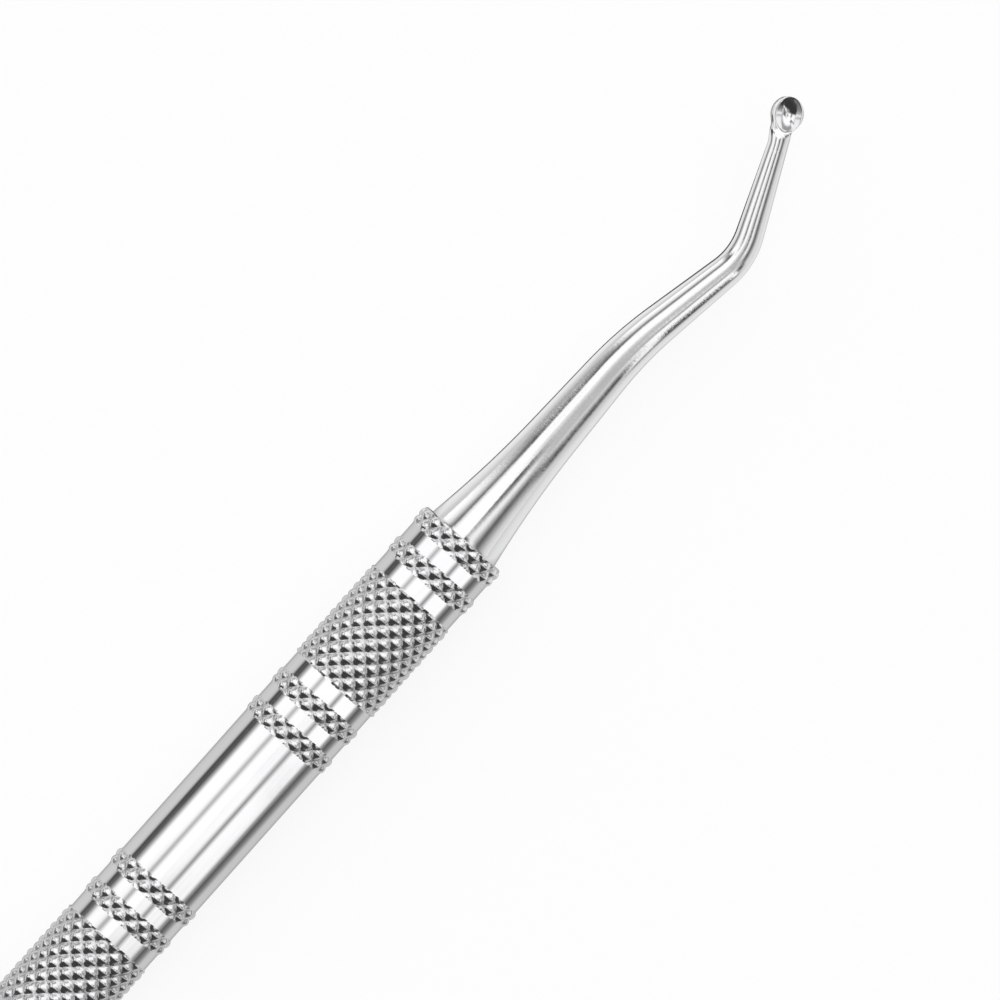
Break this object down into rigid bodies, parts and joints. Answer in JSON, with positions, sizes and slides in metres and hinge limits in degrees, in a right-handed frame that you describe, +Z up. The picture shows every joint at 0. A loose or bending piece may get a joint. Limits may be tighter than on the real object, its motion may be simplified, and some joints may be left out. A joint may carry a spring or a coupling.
{
  "type": "ingrown toenail curette",
  "caption": "Slim steel hand instrument: a knurled round handle with a tapered, angled shank and a tiny scooped spoon at each end, for lifting and cleaning beside an ingrown nail.",
  "frame": {"origin": "on the surface that the tool lies on, under the middle of the handle", "axes": "+X along the handle towards the front spoon, +Y to the side that the front spoon leans to, +Z up, the way the front spoon's bowl opens"},
  "size_m": [0.168, 0.0072, 0.0063],
  "materials": {
    "handle_steel": "polished stainless steel with rolled knurling",
    "working_end_steel": "mirror-polished stainless steel"
  },
  "bodies": {
    "root": {"handle_tube": "handle_steel", "front_working_end": "working_end_steel", "rear_working_end": "working_end_steel"}
  },
  "joints": []
}
